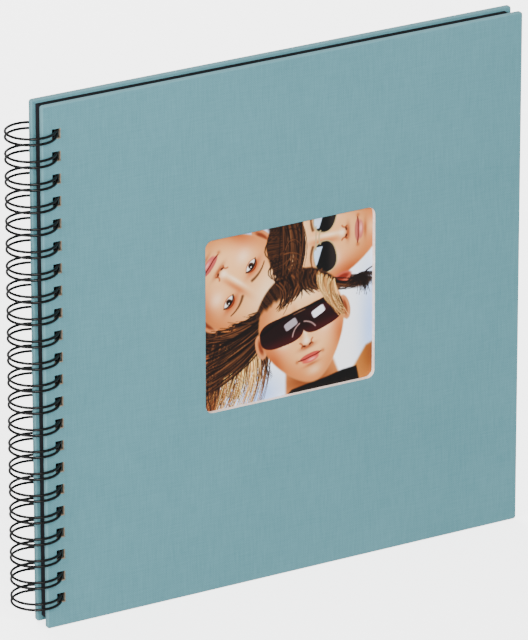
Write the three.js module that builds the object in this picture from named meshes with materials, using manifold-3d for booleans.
// A wire-bound scrapbook album: two cloth-covered boards, black card leaves between them, and
// one twin-loop wire through a row of punched holes. The album stands closed on the bottom
// edges of its covers. Millimetres, +Z up; the front cover faces -Y, the wire runs up the -X side.
//
// Inside the groups, x is measured from the axis of the wire's rings and z from mid-height, so
// the rings, the row of holes and every leaf share one simple set of coordinates.

import * as THREE from "three";
import { mergeVertices } from "three/addons/utils/BufferGeometryUtils.js";
import Module from "manifold-3d";

// ---------------------------------------------------------------- Driving dimensions

const COVER_SIDE = 300; // both covers are square
const COVER_CORNER = 1.5; // radius of a cover's corners
const COVER_EDGE_X = 2.9; // from the ring axis to the covers' spine edge
const ALBUM_THICKNESS = 15; // outer face to outer face, closed

const CLOTH = 0.25; // book cloth, wrapped round the board
const GLUE_GAP = 0.05; // between layers that are glued together
const BOARD_THICKNESS = 2.6;
const TURN_IN = 15; // width of the cloth folded over onto the inside
const LINING_INSET = 4; // cloth left showing round the lining
const LINING_THICKNESS = 0.15;

const SHEET_COUNT = 20;
const SHEET_THICKNESS = 0.33;
const SHEET_PITCH = 0.4;
const SHEET_WIDTH = 292.8;
const SHEET_HEIGHT = 294.4;
const SHEET_SPINE_INSET = 2.5; // from the covers' spine edge to the leaves' edge
const SHEET_FOOT_INSET = 3.6; // from the covers' foot to the leaves' foot

const WINDOW = { left: 99.4, foot: 104.6, width: 107, height: 100, corner: 4.5 };
const PRINT_MARGIN = 8; // how far the print reaches behind the board, all round
const PRINT_FRONT = 3.0; // depth of the print's face behind the cover's face
const PRINT_THICKNESS = 0.2;

const LOOP_COUNT = 22;
const LOOP_PITCH = 12.7; // two loops to the inch
const HOLE_HEIGHT = 5.8;
const COVER_HOLE = { from: 8.8, to: 14.1 }; // x, from the ring axis
const SHEET_HOLE = { from: 10.4, to: 15.0 };

const RING_RADIUS = 13.6; // to the centre of the wire
const WIRE_RADIUS = 0.6;
const LEG_SPACING = 3.3; // between the two legs of one loop
const LEG_SEGMENTS = 12;
const SEGMENT_ANGLE = 28.75; // degrees of ring for one straight segment
const SEAM_ANGLE = 50; // degrees; where the legs start, behind the back cover
const BEND_RADIUS = 1.2; // where a leg turns into the run to the next loop

// ---------------------------------------------------------------- Derived sizes

const HALF = COVER_SIDE / 2;
const BOARD_FRONT = CLOTH + GLUE_GAP;
const BOARD_BACK = BOARD_FRONT + BOARD_THICKNESS;
const TURN_IN_FRONT = BOARD_BACK + GLUE_GAP;
const TURN_IN_BACK = TURN_IN_FRONT + CLOTH;
const LINING_FRONT = TURN_IN_BACK + GLUE_GAP;
const PAST = 1; // how far a cutter reaches past the face that it cuts

// The straight segments cut inside the true ring, so their ends lie outside it by as much.
const SAGITTA = RING_RADIUS * (1 - Math.cos(THREE.MathUtils.degToRad(SEGMENT_ANGLE / 2)));
const VERTEX_RADIUS = RING_RADIUS + SAGITTA / 2;

// The rings' outer side and the covers' fore-edge are the two ends of the album along X.
const SPINE_END = -(VERTEX_RADIUS + WIRE_RADIUS);
const FORE_END = COVER_EDGE_X + COVER_SIDE;
const AXIS_X = -(SPINE_END + FORE_END) / 2;

// ---------------------------------------------------------------- Solids

const wasm = await Module();
wasm.setup();

function toSolid(geometry) {
  geometry.deleteAttribute("normal");
  geometry.deleteAttribute("uv");
  const merged = mergeVertices(geometry);
  const vertProperties = new Float32Array(merged.attributes.position.array);
  const triVerts = new Uint32Array(merged.index.array);
  return new wasm.Manifold(new wasm.Mesh({ numProp: 3, vertProperties, triVerts }));
}

function toGeometry(solid) {
  const mesh = solid.getMesh();
  const geometry = new THREE.BufferGeometry();
  geometry.setAttribute("position", new THREE.BufferAttribute(mesh.vertProperties, mesh.numProp));
  geometry.setIndex(new THREE.BufferAttribute(mesh.triVerts, 1));
  geometry.computeVertexNormals();
  return geometry;
}

// A rectangle in X and Z with round corners, from one depth in Y to another.
function slab({ left, foot, width, height, corner = 0 }, yFrom, yTo) {
  const right = left + width;
  const head = foot + height;
  const outline = new THREE.Shape();
  outline.moveTo(left + corner, foot);
  outline.lineTo(right - corner, foot);
  if (corner) outline.absarc(right - corner, foot + corner, corner, -Math.PI / 2, 0);
  outline.lineTo(right, head - corner);
  if (corner) outline.absarc(right - corner, head - corner, corner, 0, Math.PI / 2);
  outline.lineTo(left + corner, head);
  if (corner) outline.absarc(left + corner, head - corner, corner, Math.PI / 2, Math.PI);
  outline.lineTo(left, foot + corner);
  if (corner) outline.absarc(left + corner, foot + corner, corner, Math.PI, Math.PI * 1.5);
  const curveSegments = 3;
  const options = { depth: yTo - yFrom, bevelEnabled: false, curveSegments };
  const geometry = new THREE.ExtrudeGeometry(outline, options);
  geometry.rotateX(Math.PI / 2);
  geometry.translate(0, yTo, 0);
  return toSolid(geometry);
}

// A square plate of the cover's outline, drawn in by an inset on every side.
function coverSlab(inset, corner, yFrom, yTo) {
  const side = COVER_SIDE - 2 * inset;
  const outline = { left: COVER_EDGE_X + inset, foot: inset - HALF, width: side, height: side, corner };
  return slab(outline, yFrom, yTo);
}

function windowSlab(margin, corner, yFrom, yTo) {
  const outline = {
    left: COVER_EDGE_X + WINDOW.left - margin,
    foot: WINDOW.foot - HALF - margin,
    width: WINDOW.width + 2 * margin,
    height: WINDOW.height + 2 * margin,
    corner,
  };
  return slab(outline, yFrom, yTo);
}

function loopHeight(loop) {
  return (loop - (LOOP_COUNT - 1) / 2) * LOOP_PITCH;
}

// The row of punched holes, as one solid to cut with.
function holeRow({ from, to }) {
  let row = null;
  for (let loop = 0; loop < LOOP_COUNT; loop += 1) {
    const box = new THREE.BoxGeometry(to - from, 2 * ALBUM_THICKNESS, HOLE_HEIGHT);
    box.translate((from + to) / 2, 0, loopHeight(loop));
    const hole = toSolid(box);
    row = row ? row.add(hole) : hole;
  }
  return row;
}

// ---------------------------------------------------------------- Materials

function material(color, roughness, metalness = 0) {
  return new THREE.MeshStandardMaterial({ color, roughness, metalness });
}

const BOOK_CLOTH = material("#82a5ac", 0.85);
const GREY_BOARD = material("#e6d8cc", 0.9);
const BLACK_PAPER = material("#1b191c", 0.8);
const PRINT_PAPER = material("#c9b6a6", 0.3);
const LACQUERED_WIRE = material("#141416", 0.3, 0.6);

function part(name, geometry, finish) {
  const mesh = new THREE.Mesh(geometry, finish);
  mesh.name = name;
  return mesh;
}

// ---------------------------------------------------------------- Covers

const COVER_HOLES = holeRow(COVER_HOLE);

// The cloth covers the outer face, wraps over all four edges and turns in on the inside.
function clothGeometry(hasWindow) {
  const outside = coverSlab(0, COVER_CORNER, 0, TURN_IN_BACK);
  const boardSpace = coverSlab(CLOTH, COVER_CORNER - CLOTH, CLOTH, TURN_IN_FRONT);
  const insideOpening = coverSlab(TURN_IN, 0, BOARD_BACK, TURN_IN_BACK + PAST);
  let cloth = outside.subtract(boardSpace).subtract(insideOpening).subtract(COVER_HOLES);
  if (hasWindow) cloth = cloth.subtract(windowSlab(0, WINDOW.corner, -PAST, BOARD_FRONT));
  return toGeometry(cloth);
}

function boardGeometry(hasWindow) {
  const corner = COVER_CORNER - BOARD_FRONT;
  let board = coverSlab(BOARD_FRONT, corner, BOARD_FRONT, BOARD_BACK).subtract(COVER_HOLES);
  if (hasWindow) board = board.subtract(windowSlab(0, WINDOW.corner, -PAST, TURN_IN_BACK));
  return toGeometry(board);
}

function liningGeometry() {
  const lining = coverSlab(LINING_INSET, 0, LINING_FRONT, LINING_FRONT + LINING_THICKNESS);
  return toGeometry(lining.subtract(COVER_HOLES));
}

// A cover is built face down on its own group: y = 0 is its outer face, +Y goes inwards.
function makeCover(side, hasWindow) {
  const cover = new THREE.Group();
  cover.add(part(`${side}_cloth`, clothGeometry(hasWindow), BOOK_CLOTH));
  cover.add(part(`${side}_board`, boardGeometry(hasWindow), GREY_BOARD));
  cover.add(part(`${side}_lining`, liningGeometry(), BLACK_PAPER));
  return cover;
}

// ---------------------------------------------------------------- Leaves

function leafGeometry() {
  const outline = {
    left: COVER_EDGE_X + SHEET_SPINE_INSET,
    foot: SHEET_FOOT_INSET - HALF,
    width: SHEET_WIDTH,
    height: SHEET_HEIGHT,
  };
  const leaf = slab(outline, -SHEET_THICKNESS / 2, SHEET_THICKNESS / 2);
  return toGeometry(leaf.subtract(holeRow(SHEET_HOLE)));
}

function makeLeaves() {
  const leaves = new THREE.Group();
  const geometry = leafGeometry();
  for (let sheet = 1; sheet <= SHEET_COUNT; sheet += 1) {
    const leaf = part(`sheet_${String(sheet).padStart(2, "0")}`, geometry, BLACK_PAPER);
    leaf.position.y = (sheet - (SHEET_COUNT + 1) / 2) * SHEET_PITCH;
    leaves.add(leaf);
  }
  return leaves;
}

// ---------------------------------------------------------------- Wire

// A curve through fixed points, with one step for each stretch between two of them.
class PointPath extends THREE.Curve {
  constructor(points) {
    super();
    this.points = points;
  }
  index(u) {
    return Math.round(u * (this.points.length - 1));
  }
  getPoint(t, target = new THREE.Vector3()) {
    return target.copy(this.points[this.index(t)]);
  }
  getPointAt(u, target) {
    return this.getPoint(u, target);
  }
  getTangentAt(u, target = new THREE.Vector3()) {
    const last = this.points.length - 1;
    const before = this.points[Math.max(this.index(u) - 1, 0)];
    const after = this.points[Math.min(this.index(u) + 1, last)];
    return target.subVectors(after, before).normalize();
  }
}

// The wire is bent flat first, as a row of narrow fingers, and then rolled up. A flat point is
// how far round the ring it ends up, in segments, and how far up the album.
function flatWire() {
  const points = [];
  const legOffset = LEG_SPACING / 2;
  const segmentLength = VERTEX_RADIUS * THREE.MathUtils.degToRad(SEGMENT_ANGLE);
  const bend = BEND_RADIUS / segmentLength;
  const tip = legOffset / segmentLength;
  for (let loop = 0; loop < LOOP_COUNT; loop += 1) {
    const z = loopHeight(loop);
    if (loop > 0) points.push([0, z - legOffset - BEND_RADIUS]);
    for (let step = 0; step <= LEG_SEGMENTS; step += 1) {
      points.push([step === 0 && loop > 0 ? bend : step, z - legOffset]);
    }
    for (const turn of [Math.PI / 3, Math.PI * 2 / 3]) {
      points.push([LEG_SEGMENTS + tip * Math.sin(turn), z - legOffset * Math.cos(turn)]);
    }
    for (let step = LEG_SEGMENTS; step >= 0; step -= 1) {
      points.push([step === 0 && loop < LOOP_COUNT - 1 ? bend : step, z + legOffset]);
    }
    if (loop < LOOP_COUNT - 1) points.push([0, z + legOffset + BEND_RADIUS]);
  }
  return points;
}

function wireGeometry() {
  const rolled = flatWire().map(([segments, z]) => {
    const angle = THREE.MathUtils.degToRad(SEAM_ANGLE - segments * SEGMENT_ANGLE);
    return new THREE.Vector3(VERTEX_RADIUS * Math.cos(angle), VERTEX_RADIUS * Math.sin(angle), z);
  });
  const sides = 4;
  const section = new THREE.Shape();
  for (let corner = 0; corner < sides; corner += 1) {
    const angle = (corner / sides) * 2 * Math.PI;
    const place = [WIRE_RADIUS * Math.cos(angle), WIRE_RADIUS * Math.sin(angle)];
    if (corner === 0) section.moveTo(...place);
    else section.lineTo(...place);
  }
  const options = { steps: rolled.length - 1, extrudePath: new PointPath(rolled) };
  return new THREE.ExtrudeGeometry(section, options);
}

// ---------------------------------------------------------------- Assembly

const frontCover = makeCover("front", true);
frontCover.add(part("window_print", toGeometry(
  windowSlab(PRINT_MARGIN, 0, PRINT_FRONT, PRINT_FRONT + PRINT_THICKNESS)), PRINT_PAPER));
frontCover.position.y = -ALBUM_THICKNESS / 2;

const backCover = makeCover("back", false);
backCover.rotation.x = Math.PI;
backCover.position.y = ALBUM_THICKNESS / 2;

const bound = new THREE.Group();
bound.add(frontCover, makeLeaves(), backCover);
bound.add(part("wire_binding", wireGeometry(), LACQUERED_WIRE));
bound.position.set(AXIS_X, 0, HALF);

const album = new THREE.Group();
album.add(bound);

export default album;
